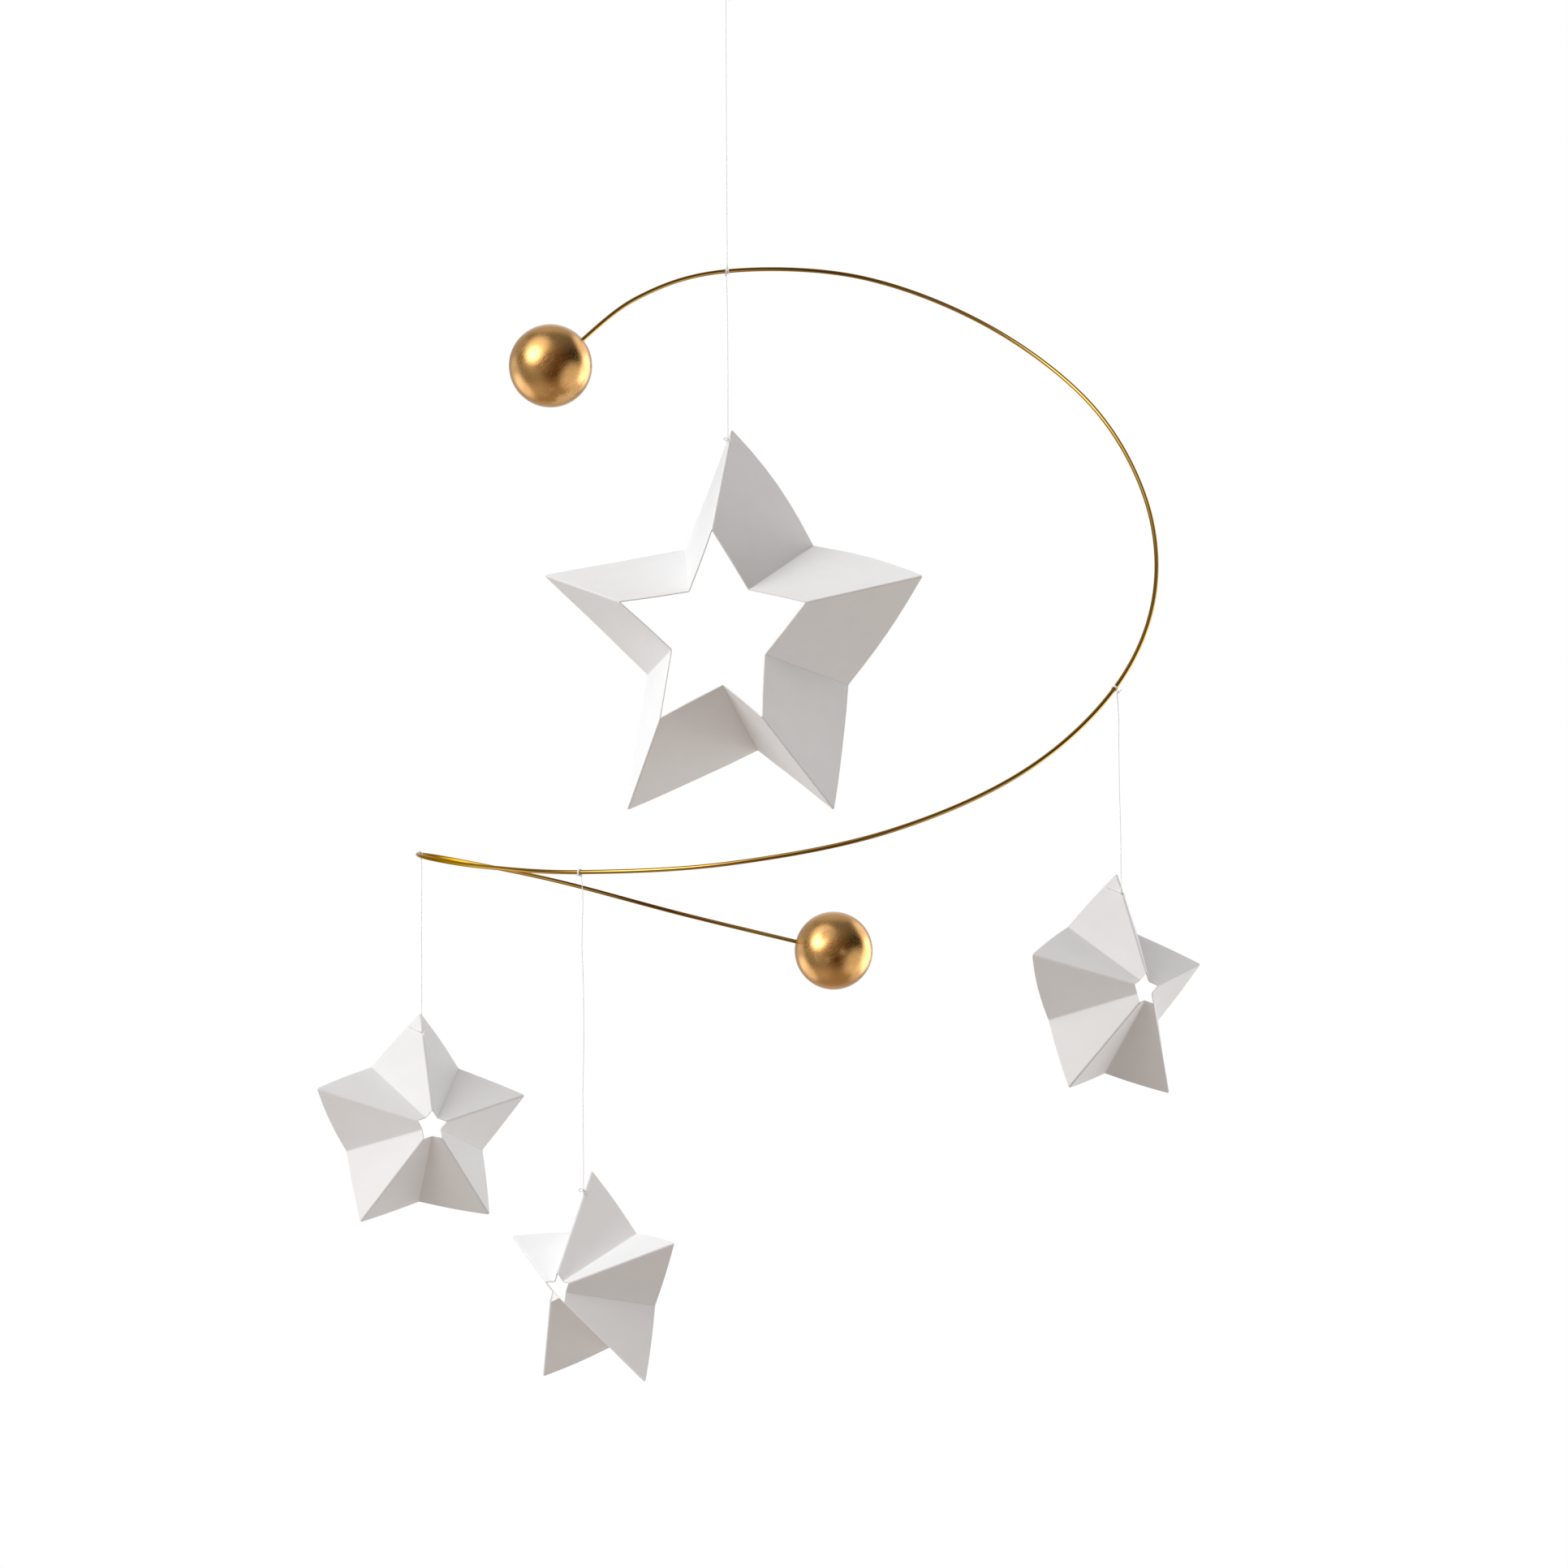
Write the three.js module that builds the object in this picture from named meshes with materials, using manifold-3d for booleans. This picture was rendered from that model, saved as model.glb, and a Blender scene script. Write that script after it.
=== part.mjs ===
// A hanging mobile: a brass wire swirl with a gilded ball on each end, hung on a cotton thread.
// A large open star of folded card hangs inside the swirl, and three small stars hang below it.
// Millimetres, +Z up, +X to the right and +Y away, seen from the front.
// The origin is the top of the hanging loop.
import * as THREE from "three";
import { mergeVertices } from "three/addons/utils/BufferGeometryUtils.js";
import Module from "manifold-3d";

// Clearance left between pieces that touch on the real object
const fitGap = 0.3;

// Cotton thread and its knots
const threadDiameter = 0.6;
const knotDiameter = 1.8;
const knotLength = 2.2;
const loopWidth = 6;
const loopHeight = 12;
const suspensionDrop = 118; // from the top of the loop down to the middle of the wire
const tieSlack = 0.3; // how roundly the thread bends where it is tied to a star
const tieKnotShare = 0.1; // how far the knot lies from the hole towards the left edge
const suspensionTurns = 2; // turns of thread round the wire
const largeStarTurns = 1;
const smallStarTurns = 2;

// Brass wire
const wireDiameter = 1.5;
const swirlWidth = 268.5; // from the left star's hitch to the furthest right of the wire

// Gilded balls, each drilled for the end of the wire
const ballDiameter = 30.5;
const boreDepth = 8;

// Folded card: reaches are measured flat, from the point where a star's folds would all meet
const cardThickness = 0.4;
const smallTipReach = 45.2;
const smallNotchReach = 37.4;
const smallHoleTipReach = 6.3;
const smallHoleNotchReach = 5.1;
const smallEdgeBulge = 0.3; // how far a cut edge bows outwards
const smallPierceDepth = 8; // from the tip down the fold to the hole for the thread
const smallTieReach = 6.5; // from the tip down the left edge to where the thread goes round it
const largeTipReach = 91.5;
const largeNotchReach = 87.5;
const largeHoleTipReach = 44.7;
const largeHoleNotchReach = 40;
const largeEdgeBulge = 1.2;
const largePierceDepth = 5;
const largeTieReach = 5.5;

// How far each star's pierced hole hangs below the middle of the wire
const largeStarDrop = 64;
const leftStarDrop = 66.2;
const middleStarDrop = 110.4;
const rightStarDrop = 72.8;

// How far to the right of its turns' middle each star's thread leaves them
const largeStarAside = 0.3;
const leftStarAside = 0;
const middleStarAside = 0.3;
const rightStarAside = 1.3;

// Centreline of the wire from the suspension point, in hundredths of the swirl's width:
// right, away, up
const swirlStations = [
  [-22.2, -11.5, -13.8], // end in the upper ball
  [-12.3, -5.8, -4.8],
  [0, 0, 0], // suspension hitch
  [18.4, 4.8, 0],
  [36.1, 4.8, -6.9],
  [50.1, -0.7, -19],
  [57, -10.4, -33.9],
  [57.2, -22, -49],
  [51, -33.9, -62.8], // right star's hitch
  [38.4, -45.1, -74.9],
  [20.7, -52, -83.2],
  [0.2, -52.3, -87.2],
  [-19, -44.5, -87.5], // middle star's hitch
  [-31.8, -32.2, -85.7],
  [-40, -16.4, -83.2],
  [-42.8, 1.3, -81], // left star's hitch
  [-38, 20.3, -80.4],
  [-25.1, 35, -82.1],
  [-7.3, 42.5, -86.4],
  [11.9, 43.6, -91.1], // end in the lower ball
];
const suspensionStation = 2;
const rightStation = 8;
const middleStation = 12;
const leftStation = 15;

// Fineness of the round shapes
const threadSides = 8;
const threadSteps = 6;
const loopSteps = 28;
const tieSteps = 30;
const wireSides = 10;
const wireSteps = 120;
const latheSides = 16;
const turnFacets = 5; // across the back of one turn of thread
const knotRows = 8;
const ballSides = 36;
const ballRows = 20;
const bulgeSteps = 4;

// Sizes that follow from the ones above
const threadRadius = threadDiameter / 2;
const wireRadius = wireDiameter / 2;
const ballRadius = ballDiameter / 2;
const turnBore = wireRadius + fitGap;
const turnRadius = turnBore + threadDiameter;
const knotHalf = knotLength / 2;
const armAngle = 72; // degrees between the tips of a five-pointed star
const armCount = 5;

const smallCut = {
  tip: smallTipReach,
  notch: smallNotchReach,
  holeTip: smallHoleTipReach,
  holeNotch: smallHoleNotchReach,
  bulge: smallEdgeBulge,
  pierce: smallPierceDepth,
  tie: smallTieReach,
  turns: smallStarTurns,
};
const largeCut = {
  tip: largeTipReach,
  notch: largeNotchReach,
  holeTip: largeHoleTipReach,
  holeNotch: largeHoleNotchReach,
  bulge: largeEdgeBulge,
  pierce: largePierceDepth,
  tie: largeTieReach,
  turns: largeStarTurns,
};

// Each star: how steeply its ridges are folded back, how it hangs, and how its hand-made folds
// stray round the star, tip by tip and notch by notch clockwise from the top, all in degrees.
// Its ten cut edges bow outwards by so many times the usual bulge, in order from the top tip.
const stars = [
  {
    name: "large_star",
    cut: largeCut,
    station: suspensionStation,
    drop: largeStarDrop,
    aside: largeStarAside,
    fold: 33.5,
    yaw: -15.5,
    pitch: 4.2,
    roll: 1.8,
    tipTurns: [0, -2, -4.5, 4.5, 0.5],
    notchTurns: [0.5, -7, 4.5, 0.5, 1.5],
    bows: [2.5, 1.8, 1, 1, 1, 1, 1, 1, 1, 1],
  },
  {
    name: "left_star",
    cut: smallCut,
    station: leftStation,
    drop: leftStarDrop,
    aside: leftStarAside,
    fold: 22.6,
    yaw: 20.5,
    pitch: 1,
    roll: -0.5,
    tipTurns: [0, -2, 3, 2.5, -1.5],
    notchTurns: [-2.5, 0, 3.5, 0.5, 1],
    bows: [1, 1, 1, 1, 1, 1, 1, 3, 1, 1],
  },
  {
    name: "middle_star",
    cut: smallCut,
    station: middleStation,
    drop: middleStarDrop,
    aside: middleStarAside,
    fold: 29.3,
    yaw: -37.6,
    pitch: 3.8,
    roll: 1.2,
    tipTurns: [-1.5, 4, -2, -0.5, -7],
    notchTurns: [-2, -1, 0, 0, 0.5],
    bows: [1, 1, 1, 1, 1, 1, 1, 1, 1, 1],
  },
  {
    name: "right_star",
    cut: smallCut,
    station: rightStation,
    drop: rightStarDrop,
    aside: rightStarAside,
    fold: 22.1,
    yaw: 39.5,
    pitch: -1,
    roll: 0.2,
    tipTurns: [-1, -2, -2, 0.5, 2],
    notchTurns: [-2.5, 0.5, 0.5, 3, -1],
    bows: [1, 1, 1, 1, 1, 1, 1, 3, 1, 1],
  },
];

const wasm = await Module();
wasm.setup();
const radians = THREE.MathUtils.degToRad;
const up = new THREE.Vector3(0, 1, 0); // a lathe turns about its own Y
const mobile = new THREE.Group();

const cotton = () => new THREE.MeshStandardMaterial({ color: 0xf2f0ec, roughness: 0.9, metalness: 0 });
const brass = () => new THREE.MeshStandardMaterial({ color: 0xb58a3a, roughness: 0.25, metalness: 1 });
const gilding = () => new THREE.MeshStandardMaterial({ color: 0xc79f4b, roughness: 0.35, metalness: 1 });
const card = () => new THREE.MeshStandardMaterial({ color: 0xf4f3f0, roughness: 0.85, metalness: 0 });

// Solids for joining and cutting

function solidFrom(geometry) {
  const plain = geometry.clone();
  plain.deleteAttribute("normal");
  plain.deleteAttribute("uv");
  const merged = mergeVertices(plain, 1e-4);
  return new wasm.Manifold(
    new wasm.Mesh({
      numProp: 3,
      vertProperties: merged.attributes.position.array,
      triVerts: new Uint32Array(merged.index.array),
    }),
  );
}

function geometryFrom(solid) {
  const mesh = solid.getMesh();
  const geometry = new THREE.BufferGeometry();
  geometry.setAttribute("position", new THREE.BufferAttribute(mesh.vertProperties, 3));
  geometry.setIndex(new THREE.BufferAttribute(mesh.triVerts, 1));
  return geometry;
}

// Shapes that several pieces share

function tube(route, radius, sides, steps) {
  const section = new THREE.Shape();
  for (let side = 0; side < sides; side++) {
    const angle = (side / sides) * Math.PI * 2;
    const x = radius * Math.cos(angle);
    const y = radius * Math.sin(angle);
    if (side === 0) section.moveTo(x, y);
    else section.lineTo(x, y);
  }
  return new THREE.ExtrudeGeometry(section, { steps, extrudePath: route, bevelEnabled: false });
}

function straightThread(top, bottom) {
  return tube(new THREE.LineCurve3(top, bottom), threadRadius, threadSides, threadSteps);
}

// A barrel-shaped knot about the Z axis
function knotGeometry() {
  const profile = [];
  for (let row = 0; row <= knotRows; row++) {
    const angle = (row / knotRows - 0.5) * Math.PI;
    const radius = row === 0 || row === knotRows ? 0 : (knotDiameter / 2) * Math.cos(angle);
    profile.push(new THREE.Vector2(radius, knotHalf * Math.sin(angle)));
  }
  return new THREE.LatheGeometry(profile, latheSides).rotateX(Math.PI / 2);
}

// Turns of thread lying side by side round the wire, about the Y axis
function turnsGeometry(turns) {
  const half = (turns * threadDiameter) / 2;
  const profile = [new THREE.Vector2(turnBore, -half)];
  for (let turn = 0; turn < turns; turn++) {
    const middle = (turn + 0.5) * threadDiameter - half;
    for (let facet = 0; facet <= turnFacets; facet++) {
      const angle = ((facet + 0.5) / (turnFacets + 1) - 0.5) * Math.PI;
      const height = middle + threadRadius * Math.sin(angle);
      profile.push(new THREE.Vector2(turnBore + threadRadius + threadRadius * Math.cos(angle), height));
    }
  }
  profile.push(new THREE.Vector2(turnBore, half));
  profile.push(profile[0].clone());
  return new THREE.LatheGeometry(profile, latheSides);
}

function addPiece(name, geometry, material, parent = mobile) {
  const mesh = new THREE.Mesh(geometry, material);
  mesh.name = name;
  parent.add(mesh);
  return mesh;
}

// Brass wire

const suspension = new THREE.Vector3(0, 0, -suspensionDrop);
const swirlPoints = swirlStations.map((place) =>
  new THREE.Vector3(...place).multiplyScalar(swirlWidth / 100).add(suspension),
);
const swirl = new THREE.CatmullRomCurve3(swirlPoints, false, "catmullrom", 0.5);
const lastStation = swirlStations.length - 1;

function wirePlace(station) {
  return swirl.getPoint(station / lastStation);
}

function wireDirection(station) {
  return swirl.getTangent(station / lastStation);
}

addPiece("swirl_wire", tube(swirl, wireRadius, wireSides, wireSteps), brass());

// Gilded balls: the bore opens along the ball's Y, and the wire ends just short of its bottom

function ballGeometry() {
  const boreRadius = wireRadius + fitGap;
  const boreBottom = ballRadius - boreDepth - fitGap;
  const mouthAngle = Math.acos(boreRadius / ballRadius);
  const profile = [new THREE.Vector2(0, -ballRadius)];
  for (let row = 1; row <= ballRows; row++) {
    const angle = THREE.MathUtils.lerp(-Math.PI / 2, mouthAngle, row / ballRows);
    profile.push(new THREE.Vector2(ballRadius * Math.cos(angle), ballRadius * Math.sin(angle)));
  }
  profile.push(new THREE.Vector2(boreRadius, boreBottom));
  profile.push(new THREE.Vector2(0, boreBottom));
  return new THREE.LatheGeometry(profile, ballSides);
}

function addBall(name, wireEnd, outward) {
  const ball = addPiece(name, ballGeometry(), gilding());
  ball.position.copy(wireEnd).addScaledVector(outward, boreDepth - ballRadius);
  ball.quaternion.setFromUnitVectors(up, outward);
}

addBall("upper_ball", wirePlace(0), wireDirection(0));
addBall("lower_ball", wirePlace(lastStation), wireDirection(lastStation).negate());

// Suspension: loop, knot, thread, knot on the wire, and the turns round the wire

const loopKnotTop = -loopHeight - fitGap;
const suspensionKnotFoot = -suspensionDrop + turnRadius + fitGap;

function hangingLoop() {
  const side = loopWidth / 2;
  const foot = threadRadius + fitGap / 2;
  const places = [
    [-foot, -loopHeight],
    [-side * 0.55, -loopHeight * 0.72],
    [-side, -loopHeight * 0.36],
    [-side * 0.68, -loopHeight * 0.08],
    [0, 0],
    [side * 0.68, -loopHeight * 0.08],
    [side, -loopHeight * 0.36],
    [side * 0.55, -loopHeight * 0.72],
    [foot, -loopHeight],
  ];
  const route = new THREE.CatmullRomCurve3(places.map(([x, z]) => new THREE.Vector3(x, 0, z)));
  return tube(route, threadRadius, threadSides, loopSteps);
}

function addKnot(name, top) {
  addPiece(name, knotGeometry(), cotton()).position.z = top - knotHalf;
}

function addTurns(name, turns, place, direction) {
  const ring = addPiece(name, turnsGeometry(turns), cotton());
  ring.position.copy(place);
  ring.quaternion.setFromUnitVectors(up, direction);
}

addPiece("hanging_loop", hangingLoop(), cotton());
addKnot("loop_knot", loopKnotTop);
addPiece(
  "suspension_thread",
  straightThread(
    new THREE.Vector3(0, 0, loopKnotTop - knotLength - fitGap),
    new THREE.Vector3(0, 0, suspensionKnotFoot + knotLength + fitGap),
  ),
  cotton(),
);
addKnot("suspension_knot", suspensionKnotFoot + knotLength);
addTurns("suspension_hitch", suspensionTurns, wirePlace(suspensionStation), wireDirection(suspensionStation));

// Folded stars, each in its own frame: X right, Y back, Z up, with the folds meeting at the origin

function valleySlope(ridgeSlope) {
  // the flat card has ten equal angles at its middle, and folding keeps each one
  const facetCosine = Math.cos(radians(armAngle / 2));
  const across = Math.cos(ridgeSlope) * facetCosine;
  const along = Math.sin(ridgeSlope);
  return Math.atan2(along, across) + Math.acos(facetCosine / Math.hypot(across, along));
}

function foldLine(turn, slope) {
  const flat = Math.cos(slope);
  return new THREE.Vector3(flat * Math.cos(turn), Math.sin(slope), flat * Math.sin(turn));
}

// The ten folds in order round the star from the top tip, clockwise from the front
function starFolds(star) {
  const ridge = radians(star.fold);
  const valley = valleySlope(ridge);
  const folds = [];
  for (let arm = 0; arm < armCount; arm++) {
    const tipTurn = radians(90 - armAngle * arm + star.tipTurns[arm]);
    const notchTurn = radians(90 - armAngle * (arm + 0.5) + star.notchTurns[arm]);
    const tipLine = foldLine(tipTurn, ridge);
    const notchLine = foldLine(notchTurn, valley);
    folds.push({ line: tipLine, outer: star.cut.tip, inner: star.cut.holeTip });
    folds.push({ line: notchLine, outer: star.cut.notch, inner: star.cut.holeNotch });
  }
  return folds;
}

// Front-facing normal of the facet between one fold and the next
function facetNormal(folds, index) {
  const next = folds[(index + 1) % folds.length];
  return new THREE.Vector3().crossVectors(folds[index].line, next.line).normalize().negate();
}

// Outline points of the star, each with the way its card is thick
function starRims(star, folds) {
  const normals = folds.map((fold, index) => facetNormal(folds, index));
  const outer = [];
  const inner = [];
  folds.forEach((fold, index) => {
    const before = normals[(index + folds.length - 1) % folds.length];
    const after = normals[index];
    const next = folds[(index + 1) % folds.length];
    const mitre = before.clone().add(after).divideScalar(1 + before.dot(after));
    const corner = fold.line.clone().multiplyScalar(fold.outer);
    const nextCorner = next.line.clone().multiplyScalar(next.outer);
    const outward = nextCorner.clone().sub(corner).cross(after).normalize();
    if (outward.dot(corner) < 0) outward.negate();
    inner.push({ place: fold.line.clone().multiplyScalar(fold.inner), thick: mitre });
    const edge = [{ place: corner, thick: mitre }];
    for (let step = 1; step < bulgeSteps; step++) {
      const share = step / bulgeSteps;
      const place = corner.clone().lerp(nextCorner, share);
      place.addScaledVector(outward, star.cut.bulge * star.bows[index] * 4 * share * (1 - share));
      edge.push({ place, thick: after });
    }
    outer.push(edge);
  });
  return { outer, inner, normals };
}

// The closed sheet: front and back faces half a thickness either side of the folds, and the cut edges
function starSheet(rims) {
  const corners = [];
  const half = cardThickness / 2;
  const face = (...points) => points.forEach((point) => corners.push(point));
  const side = (point, sign) => point.place.clone().addScaledVector(point.thick, sign * half);
  const count = rims.inner.length;
  for (let index = 0; index < count; index++) {
    const next = (index + 1) % count;
    const edge = [...rims.outer[index], rims.outer[next][0]];
    const ring = [rims.inner[index], ...edge, rims.inner[next]];
    for (let corner = 1; corner < ring.length - 1; corner++) {
      const [a, b, c] = [ring[0], ring[corner], ring[corner + 1]];
      face(side(a, 1), side(c, 1), side(b, 1));
      face(side(a, -1), side(b, -1), side(c, -1));
    }
    const cuts = [[rims.inner[next], rims.inner[index]]];
    for (let step = 0; step < edge.length - 1; step++) cuts.push([edge[step], edge[step + 1]]);
    for (const [from, to] of cuts) {
      face(side(from, 1), side(to, 1), side(to, -1));
      face(side(from, 1), side(to, -1), side(from, -1));
    }
  }
  return mergeVertices(new THREE.BufferGeometry().setFromPoints(corners), 1e-4);
}

// The thread's knot on the left facet of the top arm, and its loop round that facet's edge
// and back out through the pierced hole
function starTie(star, rims, pierced) {
  const lastEdge = rims.outer.length - 1;
  const tip = rims.outer[0][0].place;
  const notch = rims.outer[lastEdge][0].place;
  const facing = rims.normals[lastEdge];
  const edgeLine = notch.clone().sub(tip).normalize();
  const edge = tip.clone().addScaledVector(edgeLine, star.cut.tie);
  const outward = edgeLine.clone().cross(facing).normalize();
  if (outward.dot(edge) < 0) outward.negate();
  const lift = cardThickness / 2 + fitGap + threadRadius;
  const knotLift = cardThickness / 2 + fitGap + knotDiameter / 2;
  const clear = new THREE.Vector3(0, lift / -facing.y, 0);
  const across = (share, rise) => pierced.clone().lerp(edge, share).addScaledVector(facing, rise);
  const knot = across(tieKnotShare, knotLift);
  const places = [
    knot,
    across(0.5, lift + fitGap),
    across(0.9, lift),
    edge.clone().addScaledVector(outward, lift + fitGap + star.cut.bulge),
    across(0.85, -lift),
    across(0.5, -lift),
    pierced.clone().add(clear),
    pierced,
    pierced.clone().sub(clear),
    knot,
  ];
  const route = new THREE.CatmullRomCurve3(places, false, "catmullrom", tieSlack);
  const loop = solidFrom(tube(route, threadRadius, threadSides, tieSteps));
  const bead = solidFrom(knotGeometry().translate(knot.x, knot.y, knot.z));
  return { knot, geometry: geometryFrom(loop.add(bead)) };
}

function addStar(star) {
  const hitch = wirePlace(star.station);
  const direction = wireDirection(star.station);
  // the large star's turn lies beside those of the suspension
  if (star.station === suspensionStation) {
    const halfTurns = ((suspensionTurns + star.cut.turns) * threadDiameter) / 2;
    hitch.addScaledVector(direction, -halfTurns - fitGap);
  }
  addTurns(`${star.name}_hitch`, star.cut.turns, hitch, direction);

  const folds = starFolds(star);
  const rims = starRims(star, folds);
  const pierced = folds[0].line.clone().multiplyScalar(star.cut.tip - star.cut.pierce);
  const awlRadius = threadRadius + fitGap;
  const awl = new THREE.CylinderGeometry(awlRadius, awlRadius, knotLength * 2, latheSides);
  awl.translate(pierced.x, pierced.y, pierced.z);
  const sheet = geometryFrom(solidFrom(starSheet(rims)).subtract(solidFrom(awl)));
  const tie = starTie(star, rims, pierced);

  // the star hangs from its knot, plumb under the place where the thread leaves its turns
  const hung = new THREE.Group();
  hung.rotation.set(radians(star.pitch), radians(star.roll), radians(star.yaw), "ZXY");
  const knotFromHole = tie.knot.clone().sub(pierced).applyEuler(hung.rotation);
  hung.position.set(
    hitch.x + star.aside - knotFromHole.x,
    hitch.y - knotFromHole.y,
    hitch.z - star.drop,
  );
  mobile.add(hung);
  addPiece(star.name, sheet, card(), hung).position.copy(pierced).negate();
  addPiece(`${star.name}_tie`, tie.geometry, cotton(), hung).position.copy(pierced).negate();

  const knot = hung.position.clone().add(knotFromHole);
  const threadTop = knot.clone().setZ(hitch.z - Math.sqrt((turnRadius + fitGap) ** 2 - star.aside ** 2));
  const threadFoot = knot.clone().setZ(knot.z + knotHalf + fitGap);
  addPiece(`${star.name}_thread`, straightThread(threadTop, threadFoot), cotton());
}

stars.forEach(addStar);

export default mobile;
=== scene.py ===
"""Looks for a hanging mobile: a brass wire swirl with a gilded ball on each end, four stars of
folded white card, and the cotton threads that carry them.

The tables hold millimetres in the part's own frame (+X right, +Y away, +Z up, origin at the top
of the hanging loop) and repeat the part's own sizes. Every mesh is made in metres.
"""

import math
import random

import bmesh
import bpy
from mathutils import Matrix, Vector, noise


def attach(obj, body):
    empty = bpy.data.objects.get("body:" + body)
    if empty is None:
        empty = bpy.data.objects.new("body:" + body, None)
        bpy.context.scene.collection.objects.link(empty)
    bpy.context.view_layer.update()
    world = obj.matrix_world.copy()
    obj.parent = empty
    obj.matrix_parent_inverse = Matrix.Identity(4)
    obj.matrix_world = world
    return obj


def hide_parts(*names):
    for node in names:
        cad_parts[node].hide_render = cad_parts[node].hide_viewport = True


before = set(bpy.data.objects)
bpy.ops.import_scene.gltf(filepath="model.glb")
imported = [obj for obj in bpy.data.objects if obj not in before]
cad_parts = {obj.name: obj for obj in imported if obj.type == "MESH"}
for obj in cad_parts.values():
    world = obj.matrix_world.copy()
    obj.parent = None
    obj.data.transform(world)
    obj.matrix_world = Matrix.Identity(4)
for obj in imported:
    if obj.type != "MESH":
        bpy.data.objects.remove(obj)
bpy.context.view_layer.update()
MM = 0.001

# Cotton thread: the part's thickness, the two plies that are drawn, which lie closer as they are
# pulled tight, the distance over which they turn once, and the knots tied in it
THREAD = 0.6
PLY_RADIUS = 0.108
PLY_OFFSET = 0.045
PLY_SIDES = 7
KNOT_SWELL = 1.3
TIGHT_THREAD = 2 * (PLY_RADIUS + PLY_OFFSET)
KNOT_THREAD = TIGHT_THREAD * KNOT_SWELL
TWIST_LENGTH = 1.6
THREAD_STEP = 0.2
KNOT_LENGTH = 2.2
KNOT_DIAMETER = 1.8
FIT_GAP = 0.3

# Loop at the top: half its width, and its height
HANGING_LOOP_SIDE = 3
HANGING_LOOP_HEIGHT = 12

# Knots as they are drawn, pulled tighter than the part's plain round ones
HITCH_KNOT = 1.3
HITCH_KNOT_DROP = 1.35  # below the middle of the wire
HITCH_PUSH = 0.6  # of the large star's turns, towards the suspension thread's
THREAD_TOP_DROP = 1.4  # where a star's thread starts, below the middle of the wire
TIE_KNOT = 1.5
TIE_KNOT_SHARE = 0.1  # of the way from the pierced hole to the edge
TIE_KNOT_PULL = 0.45  # towards the card
THREAD_FOOT_RISE = 0.5  # where a star's thread ends, above the middle of its knot
WIRE_KNOT = 1.2
WIRE_KNOT_DROP = 1.5  # below the foot of the suspension thread
SUSPENSION_TURNS = 2.5

# Brass wire, from the suspension point, in hundredths of the swirl's width: right, away, up
WIRE_RADIUS = 0.75
WIRE_SIDES = 20
SWIRL_WIDTH = 268.5
SUSPENSION_DROP = 118
SUSPENSION_STATION = 2
SWIRL_STATIONS = [
    (-22.2, -11.5, -13.8),  # end in the upper ball
    (-12.3, -5.8, -4.8),
    (0, 0, 0),  # suspension hitch
    (18.4, 4.8, 0),
    (36.1, 4.8, -6.9),
    (50.1, -0.7, -19),
    (57, -10.4, -33.9),
    (57.2, -22, -49),
    (51, -33.9, -62.8),  # right star's hitch
    (38.4, -45.1, -74.9),
    (20.7, -52, -83.2),
    (0.2, -52.3, -87.2),
    (-19, -44.5, -87.5),  # middle star's hitch
    (-31.8, -32.2, -85.7),
    (-40, -16.4, -83.2),
    (-42.8, 1.3, -81),  # left star's hitch
    (-38, 20.3, -80.4),
    (-25.1, 35, -82.1),
    (-7.3, 42.5, -86.4),
    (11.9, 43.6, -91.1),  # end in the lower ball
]

# Gilded balls, drilled for the wire. Each is turned by hand, so its skin is a hair out of round:
# by this share of its size, rising and falling over a few millimetres.
BALL_RADIUS = 15.25
BORE_DEPTH = 8
BORE_PLAY = 0.12
BORE_LIP = 0.25
OUT_OF_ROUND = 0.0022
OUT_OF_ROUND_SPAN = 9
BALL_SKIN = 0.5
BORE_EDGE_ANGLE = 50  # degrees, from which an edge stays sharp

# Folded card, measured flat from the point where a star's folds would all meet. A cut gives the
# reach of tips and notches and of the hole's corners, how far the outer edges bow out, how far from
# the tip the top fold is pierced and its left edge tied, the thread's whole turns round the wire,
# how far a facet may sag, and the rows of its mesh.
CARD = 0.4
FOLD_REACH = 0.5  # how far a fold's rounding reaches to either side
FOLD_SHADE_SPAN = 0.3  # how far the shade painted along it reaches
TIP_BLUNTING = 0.4
AWL_RADIUS = 0.42
AWL_LENGTH = 3
CUT_EDGE_ANGLE = 32  # degrees, from which an edge stays sharp
ARMS = 5
SMALL_CUT = {
    "tip": 45.2, "notch": 37.4, "hole_tip": 6.3, "hole_notch": 5.1, "bulge": 0.3,
    "pierce": 8, "tie": 6.5, "turns": 2, "sag": 0.25, "rows": 26,
}
LARGE_CUT = {
    "tip": 91.5, "notch": 87.5, "hole_tip": 44.7, "hole_notch": 40, "bulge": 1.2,
    "pierce": 5, "tie": 5.5, "turns": 1, "sag": 0.5, "rows": 30,
}

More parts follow.
